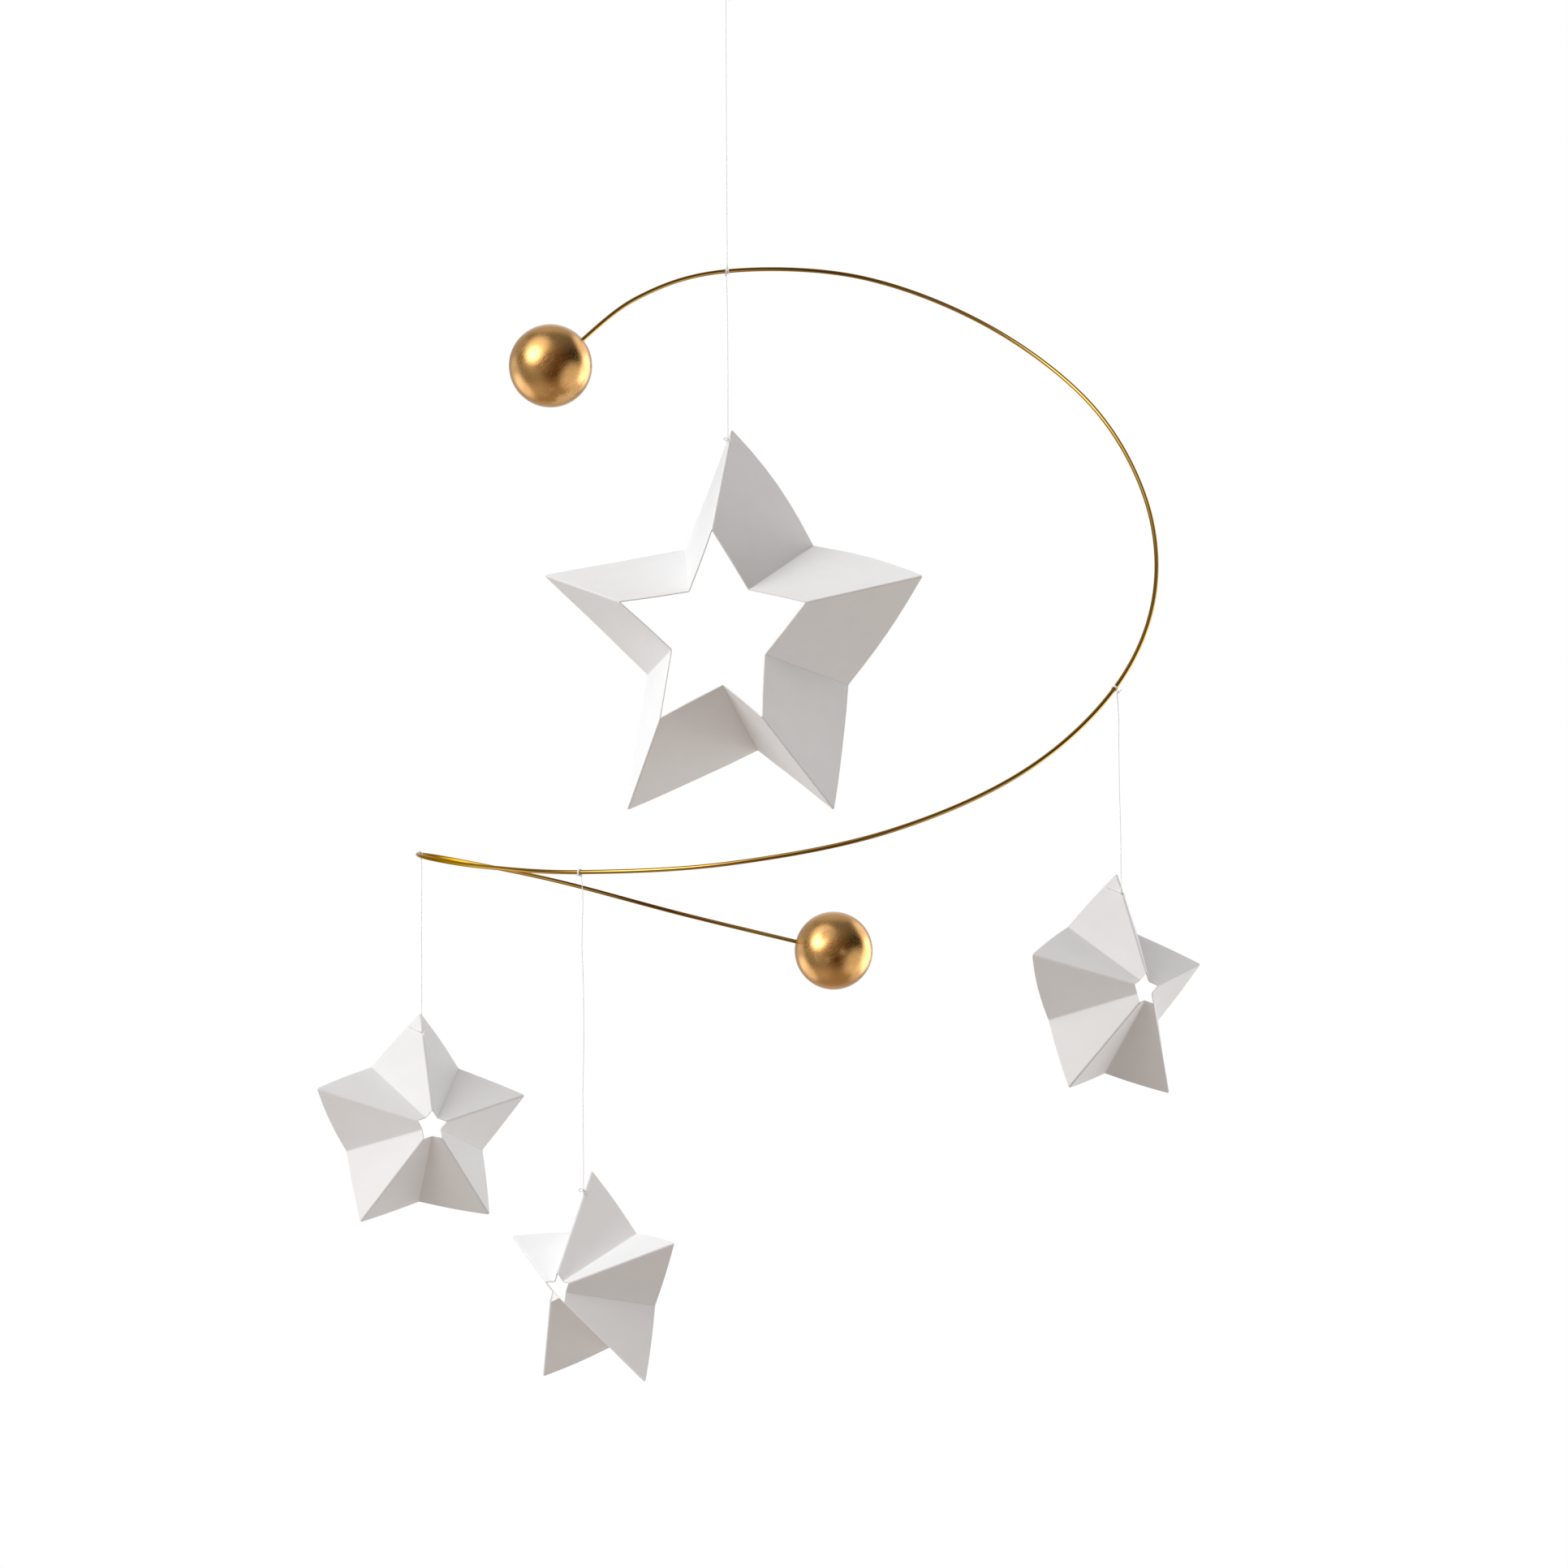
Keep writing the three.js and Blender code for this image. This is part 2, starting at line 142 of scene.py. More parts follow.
# Each star hangs from a station of the wire, its hole a drop below it and its thread a little aside
# of it, shifted once more to where it hangs in the photograph. Its ridges slope by the fold angle,
# and it is turned by yaw, pitch and roll. Tips and notches, from the top clockwise, are out of true
# by a few degrees. Bows are how many times the cut's bulge each edge bows out. The thread wanders
# to the right or left on its way down. The loose ends are measured from the middle of their knots.
STARS = [
    {
        "name": "large", "shift": 0.35, "cut": LARGE_CUT, "station": SUSPENSION_STATION,
        "drop": 64, "aside": 0.3,
        "fold": 33.5, "yaw": -15.5, "pitch": 4.2, "roll": 1.8,
        "tips": (0, -2, -4.5, 4.5, 0.5), "notches": (0.5, -7, 4.5, 0.5, 1.5),
        "bows": (2.5, 1.8, 1, 1, 1, 1, 1, 1, 1, 1),
        "wander": (-0.25, 0.02, 0.1, 0.12, 0.1, 0.05, 0),
        "tie_end": ((0, 0, 0.3), (-0.9, -0.2, 0.9), (-1.5, -0.2, 0.6), (-1.1, -0.2, 0), (0, 0, -0.2)),
        "hitch_end": (),
    },
    {
        "name": "left", "shift": 0.5, "cut": SMALL_CUT, "station": 15, "drop": 66.2, "aside": 0,
        "fold": 22.6, "yaw": 20.5, "pitch": 1, "roll": -0.5,
        "tips": (0, -2, 3, 2.5, -1.5), "notches": (-2.5, 0, 3.5, 0.5, 1),
        "bows": (1, 1, 1, 1, 1, 1, 1, 3, 1, 1),
        "wander": (0, 0.05, 0, -0.05, 0, 0.05, 0.05, 0),
        "tie_end": ((0, 0, 0), (1.0, -0.3, -0.1), (2.2, -0.2, -0.35)),
        "hitch_end": (),
    },
    {
        "name": "middle", "shift": 0.3, "cut": SMALL_CUT, "station": 12, "drop": 110.4, "aside": 0.3,
        "fold": 29.3, "yaw": -37.6, "pitch": 3.8, "roll": 1.2,
        "tips": (-1.5, 4, -2, -0.5, -7), "notches": (-2, -1, 0, 0, 0.5),
        "bows": (1, 1, 1, 1, 1, 1, 1, 1, 1, 1),
        "wander": (-0.35, 0.1, -0.15, -0.25, 0.05, 0.25, 0.3, 0.3, 0.1, -0.1, 0, 0, 0.1, 0),
        "tie_end": (
            (0.2, 0, 0.1), (-0.7, -0.2, 0.55), (-1.5, -0.2, 0.25), (-1.2, -0.2, -0.35), (0.1, 0, -0.3),
        ),
        "hitch_end": ((0, 0, 0), (-0.9, -0.1, 0.15), (-1.9, -0.2, 0.2)),
    },
    {
        "name": "right", "shift": 0, "cut": SMALL_CUT, "station": 8, "drop": 72.8, "aside": 1.3,
        "fold": 22.1, "yaw": 39.5, "pitch": -1, "roll": 0.2,
        "tips": (-1, -2, -2, 0.5, 2), "notches": (-2.5, 0.5, 0.5, 3, -1),
        "bows": (1, 1, 1, 1, 1, 1, 1, 3, 1, 1),
        "wander": (-0.5, 0, -0.1, -0.1, -0.05, 0.05, 0.15, 0.1, 0),
        "tie_end": (),
        "hitch_end": ((0, 0, 0), (0.7, -0.2, 0.5), (1.2, -0.3, 1.0)),
    },
]

# Where the photograph was taken from, in metres, with the camera tilted up and leaning a little
CAMERA_PLACE = (0.02, -1.9405, -0.507)
CAMERA_PITCH = 5.779
CAMERA_ROLL = 0.362
CAMERA_LENS = 121.118
SENSOR_WIDTH = 36

# Floor, in metres, well below the object
FLOOR_LEVEL = -1
FLOOR_REACH = 4

# The white backdrop as the metal mirrors it: the cosines between which it fades in, and its share
BACKDROP_FADE = (0.9, 1.0)
BACKDROP_SHARE = 0.55

# Soft light all round the object: which way each panel lies, its colour, and its strength.
# A panel fades out smoothly between the two cosines of the angle from its middle.
PANELS = [
    ((-0.7, -0.62, 0.36), (0.94, 0.99), "#FFFFFF", 2.6),  # main light, front left, bright in the middle
    ((-0.69, -0.63, 0.37), (0.86, 0.985), "#FFFFFF", 2.05),  # and soft round it, more so towards above
    ((-0.55, -0.5, 0.67), (0.75, 0.97), "#FFFFFF", 1.2),
    ((-0.6, -0.75, 0.28), (0.4, 0.95), "#FFFFFF", 0.19),
    ((-0.8, -0.2, -0.56), (0.5, 0.95), "#FFFFFF", 0.26),  # low on the left, and a tall strip behind it
    ((-0.78, 0.45, 0.43), (0.88, 0.98), "#FFFFFF", 0.45),
    ((-0.87, 0.47, -0.1), (0.87, 0.985), "#FFFFFF", 0.7),
    ((-0.75, 0.45, -0.48), (0.88, 0.98), "#FFFFFF", 1.0),
    ((0.74, 0.5, 0.45), (0.88, 0.98), "#FFFFFF", 1.35),  # a tall strip behind on the right
    ((0.857, 0.515, -0.08), (0.85, 0.98), "#FFFFFF", 2.5),
    ((0.74, 0.45, -0.5), (0.88, 0.98), "#FFFFFF", 0.75),
    ((0, 1, 0), (0.5, 0.9), "#FFFFFF", 0.5),  # the white backdrop
    ((0, 0.62, 0.79), (0.75, 0.98), "#FFFFFF", 0.5),  # above behind, and dimmer above
    ((0, -0.2, 1), (0.4, 1), "#FFFFFF", 0.23),
    ((0, -1, 0), (0.3, 0.95), "#FFBC7C", 0.11),  # the room in front, dim and warm, lighter low on the right
    ((0.85, -0.25, -0.47), (0.75, 0.98), "#FFFFFF", 0.9),
    ((0, 0.2, -0.98), (0.4, 1), "#FFE6D0", 0.43),  # the floor's bounce
]


# Nodes and colours

def linear(hex_colour):
    """An sRGB hex colour as the linear colour that the shaders take."""
    channels = [int(hex_colour[i:i + 2], 16) / 255 for i in (1, 3, 5)]
    return tuple(c / 12.92 if c <= 0.04045 else ((c + 0.055) / 1.055) ** 2.4 for c in channels) + (1.0,)


def add_node(tree, kind, settings=None, links=None):
    """Adds a node. Settings name its properties or input sockets, links name its inputs' sources."""
    node = tree.nodes.new(kind)
    for key, value in (settings or {}).items():
        if isinstance(key, str) and hasattr(node, key):
            setattr(node, key, value)
        else:
            node.inputs[key].default_value = value
    for key, source in (links or {}).items():
        tree.links.new(source, node.inputs[key])
    return node


def new_material(name):
    """An empty material with its shader joined to its output."""
    material = bpy.data.materials.new(name)
    material.use_nodes = True
    tree = material.node_tree
    tree.nodes.clear()
    shader = add_node(tree, "ShaderNodeBsdfPrincipled")
    add_node(tree, "ShaderNodeOutputMaterial", links={"Surface": shader.outputs[0]})
    return material, tree, shader


# Materials

def cotton_thread():
    """Bleached cotton, two plies twisted: matt and softly fuzzy, and it lets a little light in."""
    material, tree, shader = new_material("cotton_thread_twisted")
    place = add_node(tree, "ShaderNodeTexCoord").outputs["Object"]
    # fibres are about 0.02 mm wide, drawn at 0.3 mm so that they show
    fibres = add_node(tree, "ShaderNodeTexNoise", {"Scale": 1 / (0.3 * MM), "Detail": 3.0}, {"Vector": place})
    tint = add_node(
        tree, "ShaderNodeMix",
        {"data_type": "RGBA", 6: linear("#F8F7F5"), 7: linear("#FEFDFC")},
        {"Factor": fibres.outputs["Fac"]},
    )
    fuzz = add_node(
        tree, "ShaderNodeBump", {"Strength": 0.2, "Distance": 0.05 * MM}, {"Height": fibres.outputs["Fac"]},
    )
    tree.links.new(tint.outputs[2], shader.inputs["Base Color"])
    tree.links.new(fuzz.outputs[0], shader.inputs["Normal"])
    shader.inputs["Roughness"].default_value = 0.95
    shader.inputs["Sheen Weight"].default_value = 0.3
    shader.inputs["Subsurface Weight"].default_value = 0.15
    shader.inputs["Subsurface Radius"].default_value = (1, 1, 1)
    shader.inputs["Subsurface Scale"].default_value = 0.4 * MM
    return material


def drawn_brass():
    """Brass wire pulled through a die: glossy, with fine lines along it and a few darker stretches."""
    material, tree, shader = new_material("brass_wire_drawn")
    along = add_node(tree, "ShaderNodeAttribute", {"attribute_name": "along"}).outputs["Fac"]
    around = add_node(tree, "ShaderNodeAttribute", {"attribute_name": "around"}).outputs["Fac"]
    # die lines 0.2 mm apart round the wire and 60 mm long
    lines_round = 2 * math.pi * WIRE_RADIUS / 0.2
    turn = add_node(tree, "ShaderNodeMath", {"operation": "MULTIPLY", 1: lines_round}, {0: around})
    run = add_node(tree, "ShaderNodeMath", {"operation": "DIVIDE", 1: 60 * MM}, {0: along})
    lines_at = add_node(tree, "ShaderNodeCombineXYZ", links={"X": turn.outputs[0], "Y": run.outputs[0]})
    lines = add_node(
        tree, "ShaderNodeTexNoise", {"Scale": 1.0, "Detail": 2.0}, {"Vector": lines_at.outputs[0]},
    )
    place = add_node(tree, "ShaderNodeTexCoord").outputs["Object"]
    tarnish = add_node(tree, "ShaderNodeTexNoise", {"Scale": 1 / (25 * MM), "Detail": 3.0}, {"Vector": place})
    tint = add_node(
        tree, "ShaderNodeMix",
        {"data_type": "RGBA", 6: linear("#A8823E"), 7: linear("#BA964E")},
        {"Factor": tarnish.outputs["Fac"]},
    )
    gloss = add_node(
        tree, "ShaderNodeMapRange", {"To Min": 0.06, "To Max": 0.14}, {"Value": lines.outputs["Fac"]},
    )
    scored = add_node(
        tree, "ShaderNodeBump", {"Strength": 0.06, "Distance": 0.02 * MM}, {"Height": lines.outputs["Fac"]},
    )
    tree.links.new(tint.outputs[2], shader.inputs["Base Color"])
    tree.links.new(gloss.outputs[0], shader.inputs["Roughness"])
    tree.links.new(scored.outputs[0], shader.inputs["Normal"])
    shader.inputs["Metallic"].default_value = 1.0
    shader.inputs["Specular Tint"].default_value = linear("#D9B978")
    return material


def gilded_ball():
    """Imitation gold leaf laid by hand on wood and rubbed down: warm, satin, finely scuffed along
    the rubbing, with faint laps where the leaves overlap."""
    material, tree, shader = new_material("gold_leaf_rubbed")
    place = add_node(tree, "ShaderNodeTexCoord").outputs["Object"]
    # scuffs about 0.3 mm wide and 2 mm long, slanting up to the right as the ball was rubbed
    rubbed = add_node(
        tree, "ShaderNodeMapping",
        {
            "vector_type": "TEXTURE", "Rotation": (0, math.radians(-50), 0),
            "Scale": (2 * MM, 0.6 * MM, 0.3 * MM),
        },
        {"Vector": place},
    )
    scuffs = add_node(
        tree, "ShaderNodeTexNoise", {"Scale": 1.0, "Detail": 3.0}, {"Vector": rubbed.outputs[0]},
    )
    # laps about 8 mm apart
    laps = add_node(
        tree, "ShaderNodeTexVoronoi", {"feature": "DISTANCE_TO_EDGE", "Scale": 1 / (8 * MM)},
        {"Vector": place},
    )
    lap = add_node(
        tree, "ShaderNodeMapRange", {"From Max": 0.04, "To Min": 1.0, "To Max": 0.0},
        {"Value": laps.outputs["Distance"]},
    )
    patches = add_node(tree, "ShaderNodeTexNoise", {"Scale": 1 / (5 * MM), "Detail": 2.0}, {"Vector": place})
    tint = add_node(
        tree, "ShaderNodeMix",
        {"data_type": "RGBA", 6: linear("#CB974F"), 7: linear("#DEAA63")},
        {"Factor": patches.outputs["Fac"]},
    )
    gloss = add_node(
        tree, "ShaderNodeMapRange", {"From Min": 0.3, "From Max": 0.75, "To Min": 0.16, "To Max": 0.42},
        {"Value": scuffs.outputs["Fac"]},
    )
    relief = add_node(
        tree, "ShaderNodeMath", {"operation": "MULTIPLY_ADD", 1: 0.15},
        {0: lap.outputs[0], 2: scuffs.outputs["Fac"]},
    )
    scuffed = add_node(
        tree, "ShaderNodeBump", {"Strength": 0.6, "Distance": 0.03 * MM}, {"Height": relief.outputs[0]},
    )
    tree.links.new(tint.outputs[2], shader.inputs["Base Color"])
    tree.links.new(gloss.outputs[0], shader.inputs["Roughness"])
    tree.links.new(scuffed.outputs[0], shader.inputs["Normal"])
    shader.inputs["Metallic"].default_value = 1.0
    shader.inputs["Specular Tint"].default_value = linear("#E6C79C")
    # lacquer over the leaf adds a paler gloss, most of all towards the ball's edge
    shader.inputs["Coat Weight"].default_value = 1.0
    shader.inputs["Coat Roughness"].default_value = 0.2
    return material


def white_card():
    """Bleached uncoated card, pressed smooth: matt white with a faint cloudiness and a fine tooth, with
    shade painted as a slightly darker line along each fold."""
    material, tree, shader = new_material("white_card_pressed")
    place = add_node(tree, "ShaderNodeTexCoord").outputs["Object"]
    cloud = add_node(tree, "ShaderNodeTexNoise", {"Scale": 1 / (7 * MM), "Detail": 3.0}, {"Vector": place})
    # the tooth is about 0.1 mm wide, drawn at 0.5 mm so that it shows
    tooth = add_node(tree, "ShaderNodeTexNoise", {"Scale": 1 / (0.5 * MM), "Detail": 2.0}, {"Vector": place})
    tint = add_node(
        tree, "ShaderNodeMix",
        {"data_type": "RGBA", 6: linear("#F0F1F2"), 7: linear("#F5F6F7")},
        {"Factor": cloud.outputs["Fac"]},
    )
    # painted shade: the card's colour is darkened along each fold, as far as the fold attribute reaches
    fold = add_node(tree, "ShaderNodeAttribute", {"attribute_name": "fold"}).outputs["Fac"]
    painted_fold_shade = add_node(tree, "ShaderNodeMath", {"operation": "MULTIPLY", 1: 0.5}, {0: fold})
    folded = add_node(
        tree, "ShaderNodeMix", {"data_type": "RGBA", 7: linear("#E0DFDD")},
        {"Factor": painted_fold_shade.outputs[0], 6: tint.outputs[2]},
    )
    # stray fibres in the pulp show as faint specks half a millimetre wide, about 20 mm apart
    pulp = add_node(tree, "ShaderNodeTexVoronoi", {"Scale": 1 / (6 * MM)}, {"Vector": place})
    speck = add_node(
        tree, "ShaderNodeMapRange", {"From Min": 0.02, "From Max": 0.045, "To Min": 0.3, "To Max": 0.0},
        {"Value": pulp.outputs["Distance"]},
    )
    folded = add_node(
        tree, "ShaderNodeMix", {"data_type": "RGBA", 7: linear("#B5AFA6")},
        {"Factor": speck.outputs[0], 6: folded.outputs[2]},
    )
    grain = add_node(
        tree, "ShaderNodeBump", {"Strength": 0.12, "Distance": 0.03 * MM}, {"Height": tooth.outputs["Fac"]},
    )
    matt = add_node(
        tree, "ShaderNodeMapRange", {"To Min": 0.78, "To Max": 0.92}, {"Value": tooth.outputs["Fac"]},
    )
    tree.links.new(folded.outputs[2], shader.inputs["Base Color"])
    tree.links.new(matt.outputs[0], shader.inputs["Roughness"])
    tree.links.new(grain.outputs[0], shader.inputs["Normal"])
    return material


def card_cut_edge():
    """The cut edge of the card: a little greyer than its faces, with its layers showing as fine lines."""
    material, tree, shader = new_material("white_card_cut_edge")
    place = add_node(tree, "ShaderNodeTexCoord").outputs["Object"]
    layers = add_node(tree, "ShaderNodeTexNoise", {"Scale": 1 / (0.4 * MM), "Detail": 2.0}, {"Vector": place})
    tint = add_node(
        tree, "ShaderNodeMix",
        {"data_type": "RGBA", 6: linear("#DDDAD5"), 7: linear("#F0EEEA")},
        {"Factor": layers.outputs["Fac"]},
    )
    rough = add_node(
        tree, "ShaderNodeBump", {"Strength": 0.2, "Distance": 0.03 * MM}, {"Height": layers.outputs["Fac"]},
    )
    tree.links.new(tint.outputs[2], shader.inputs["Base Color"])
    tree.links.new(rough.outputs[0], shader.inputs["Normal"])
    shader.inputs["Roughness"].default_value = 0.95
    return material


# Shared shapes

def smooth_route(points, steps=8, slack=0.5):
    """Points on a smooth curve through the given ones, as the part's source draws its wire and ties."""
    points = [Vector(p) for p in points]
    ends = [2 * points[0] - points[1], *points, 2 * points[-1] - points[-2]]
    route = []
    for before, start, stop, after in zip(ends, ends[1:], ends[2:], ends[3:]):
        leaving = (stop - before) * slack
        arriving = (after - start) * slack
        for step in range(steps):
            t = step / steps
            route.append(
                start * (2 * t**3 - 3 * t**2 + 1) + leaving * (t**3 - 2 * t**2 + t)
                + stop * (3 * t**2 - 2 * t**3) + arriving * (t**3 - t**2)
            )
    return route + [points[-1]]


def curve_object(name, routes):
    """A curve object with one open line for each route, its points in metres."""
    curve = bpy.data.curves.new(name, "CURVE")
    curve.dimensions = "3D"
    for route in routes:
        spline = curve.splines.new("POLY")
        spline.points.add(len(route) - 1)
        for place, point in zip(spline.points, route):
            place.co = (*(Vector(point) * MM), 1)
    drawn = bpy.data.objects.new(name, curve)
    bpy.context.scene.collection.objects.link(drawn)
    return drawn


def plain_mesh(drawn, name):
    """The evaluated object as a plain mesh object, in place of the one it was made from."""
    graph = bpy.context.evaluated_depsgraph_get()
    mesh = bpy.data.meshes.new_from_object(
        drawn.evaluated_get(graph), preserve_all_data_layers=True, depsgraph=graph,
    )
    bpy.data.objects.remove(drawn)
    mesh.name = name
    piece = bpy.data.objects.new(name, mesh)
    bpy.context.scene.collection.objects.link(piece)
    return piece


def new_tree(name, sizes):
    """A Geometry Nodes tree with a geometry input, named sizes and a material."""
    tree = bpy.data.node_groups.new(name, "GeometryNodeTree")
    tree.interface.new_socket("Geometry", in_out="INPUT", socket_type="NodeSocketGeometry")
    for size in sizes:
        tree.interface.new_socket(size, in_out="INPUT", socket_type="NodeSocketFloat")
    tree.interface.new_socket("Material", in_out="INPUT", socket_type="NodeSocketMaterial")
    tree.interface.new_socket("Geometry", in_out="OUTPUT", socket_type="NodeSocketGeometry")
    return tree, add_node(tree, "NodeGroupInput").outputs


def close_tree(tree, geometry, material):
    """Ends a tree: smooth faces, no instances left, one material."""
    smooth = add_node(tree, "GeometryNodeSetShadeSmooth", links={"Geometry": geometry})
    real = add_node(tree, "GeometryNodeRealizeInstances", links={"Geometry": smooth.outputs[0]})
    painted = add_node(
        tree, "GeometryNodeSetMaterial", links={"Geometry": real.outputs[0], "Material": material},
    )
    add_node(tree, "NodeGroupOutput", links={"Geometry": painted.outputs[0]})


def run_tree(drawn, tree, values, name):
    """Runs a tree on an object with the given sizes, and keeps its result as a plain mesh."""
    modifier = drawn.modifiers.new(tree.name, "NODES")
    modifier.node_group = tree
    for socket in tree.interface.items_tree:
        if socket.in_out == "INPUT" and socket.name in values:
            modifier[socket.identifier] = values[socket.name]
    return plain_mesh(drawn, name)


def plied_thread_tree():
    """Two plies wound round each line of a curve."""
    tree, given = new_tree("plied_thread", ("Ply Radius", "Ply Offset", "Twist Length", "Step"))
    line = add_node(
        tree, "GeometryNodeResampleCurve", {"mode": "LENGTH"},
        {"Curve": given["Geometry"], "Length": given["Step"]},
    )
    length = add_node(tree, "GeometryNodeSplineParameter").outputs["Length"]
    turns = add_node(tree, "ShaderNodeMath", {"operation": "DIVIDE"}, {0: length, 1: given["Twist Length"]})
    normal = add_node(tree, "GeometryNodeInputNormal").outputs[0]
    tangent = add_node(tree, "GeometryNodeInputTangent").outputs[0]
    section = add_node(
        tree, "GeometryNodeCurvePrimitiveCircle", {"Resolution": PLY_SIDES}, {"Radius": given["Ply Radius"]},
    )
    plies = add_node(tree, "GeometryNodeJoinGeometry")
    for start in (0.0, math.pi):
        angle = add_node(
            tree, "ShaderNodeMath", {"operation": "MULTIPLY_ADD", 1: 2 * math.pi, 2: start},
            {0: turns.outputs[0]},
        )
        wound = add_node(
            tree, "ShaderNodeVectorRotate", {"rotation_type": "AXIS_ANGLE"},
            {"Vector": normal, "Axis": tangent, "Angle": angle.outputs[0]},
        )
        aside = add_node(
            tree, "ShaderNodeVectorMath", {"operation": "SCALE"},
            {0: wound.outputs[0], "Scale": given["Ply Offset"]},
        )
        ply = add_node(
            tree, "GeometryNodeSetPosition", links={"Geometry": line.outputs[0], "Offset": aside.outputs[0]},
        )
        round_ply = add_node(
            tree, "GeometryNodeCurveToMesh", {"Fill Caps": True},
            {"Curve": ply.outputs[0], "Profile Curve": section.outputs[0]},
        )
        tree.links.new(round_ply.outputs[0], plies.inputs[0])
    close_tree(tree, plies.outputs[0], given["Material"])
    return tree


def drawn_wire_tree():
    """A round wire along a curve, which remembers the place along it and around it."""
    tree, given = new_tree("drawn_wire", ("Radius",))
    place = add_node(tree, "GeometryNodeSplineParameter")
    line = add_node(
        tree, "GeometryNodeStoreNamedAttribute", {"Name": "along"},
        {"Geometry": given["Geometry"], "Value": place.outputs["Length"]},
    )
    ring = add_node(
        tree, "GeometryNodeCurvePrimitiveCircle", {"Resolution": WIRE_SIDES}, {"Radius": given["Radius"]},
    )
    section = add_node(
        tree, "GeometryNodeStoreNamedAttribute", {"Name": "around"},
        {"Geometry": ring.outputs[0], "Value": place.outputs["Factor"]},
    )
    wire = add_node(
        tree, "GeometryNodeCurveToMesh", {"Fill Caps": True},
        {"Curve": line.outputs[0], "Profile Curve": section.outputs[0]},
    )
    close_tree(tree, wire.outputs[0], given["Material"])
    return tree


COTTON = cotton_thread()
BRASS = drawn_brass()
LEAF = gilded_ball()
WHITE_CARD = white_card()
CUT_EDGE = card_cut_edge()
PLIED_THREAD = plied_thread_tree()
DRAWN_WIRE = drawn_wire_tree()


def seat(piece, body, slot, *nodes):
    """Gives a finished piece its body and hides the part's solids that it stands for; its finish is not used.
    """
    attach(piece, body)
    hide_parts(*nodes)


def thread_piece(name, routes, swell=1.0):
    """Plied cotton thread along each route, which swells where it isn't pulled tight."""
    sizes = {
        "Ply Radius": PLY_RADIUS * swell * MM, "Ply Offset": PLY_OFFSET * swell * MM,
        "Twist Length": TWIST_LENGTH * MM, "Step": THREAD_STEP * MM, "Material": COTTON,
    }
    return run_tree(curve_object(name, routes), PLIED_THREAD, sizes, name)


def overhand_knot(centre, facing, size=KNOT_DIAMETER, steps=48):
    """The route of a tight overhand knot that faces the given way."""
    facing = Vector(facing).normalized()
    side = facing.cross((0, 0, 1)).normalized()
    rise = side.cross(facing)
    unit = (size - THREAD) / 6
    route = []
    for step in range(steps + 1):
        t = step / steps * 2 * math.pi
        across = math.sin(t) + 2 * math.sin(2 * t)
        along = math.cos(t) - 2 * math.cos(2 * t)
        lift = -1.5 * math.sin(3 * t)
        route.append(Vector(centre) + unit * (across * side + along * rise + lift * facing))
    return route


def turns_round_wire(centre, direction, turns, start, steps_a_turn=20):
    """The route of turns of thread lying side by side on the wire, from a start angle."""
    direction = Vector(direction).normalized()
    side = direction.cross((0, 0, 1)).normalized()
    rise = side.cross(direction)
    radius = WIRE_RADIUS + KNOT_THREAD / 2
    steps = int(turns * steps_a_turn)
    route = []
    for step in range(steps + 1):
        angle = math.radians(start) + step / steps * turns * 2 * math.pi
        shift = (step / steps - 0.5) * turns * KNOT_THREAD
        around = radius * (math.cos(angle) * side + math.sin(angle) * rise)
        route.append(Vector(centre) + around + shift * direction)
    return route


# Camera

def place_camera():
    pitch, roll = math.radians(CAMERA_PITCH), math.radians(CAMERA_ROLL)
    ahead = Vector((0, math.cos(pitch), math.sin(pitch)))
    upright = Vector((0, -math.sin(pitch), math.cos(pitch)))
    level = Vector((1, 0, 0))
    right = level * math.cos(roll) - upright * math.sin(roll)
    above = level * math.sin(roll) + upright * math.cos(roll)
    camera = bpy.data.objects.new("camera", bpy.data.cameras.new("camera"))
    camera.data.sensor_width = SENSOR_WIDTH
    camera.data.lens = CAMERA_LENS
    turned = Matrix((right, above, -ahead)).transposed().to_4x4()
    camera.matrix_world = Matrix.Translation(CAMERA_PLACE) @ turned
    bpy.context.scene.collection.objects.link(camera)
    bpy.context.scene.camera = camera


place_camera()

# Wire

SUSPENSION = Vector((0, 0, -SUSPENSION_DROP))
WIRE_POINTS = [SUSPENSION + Vector(place) * SWIRL_WIDTH / 100 for place in SWIRL_STATIONS]


def wire_direction(station):
    """The way the wire runs at one of its stations."""
    ends = [2 * WIRE_POINTS[0] - WIRE_POINTS[1], *WIRE_POINTS, 2 * WIRE_POINTS[-1] - WIRE_POINTS[-2]]
    return (ends[station + 2] - ends[station]).normalized()


def make_wire():
    drawn = curve_object("brass_swirl", [smooth_route(WIRE_POINTS, steps=24)])
    wire = run_tree(drawn, DRAWN_WIRE, {"Radius": WIRE_RADIUS * MM, "Material": BRASS}, "brass_swirl")
    seat(wire, "swirl", "brass_wire", "swirl_wire")


# Balls

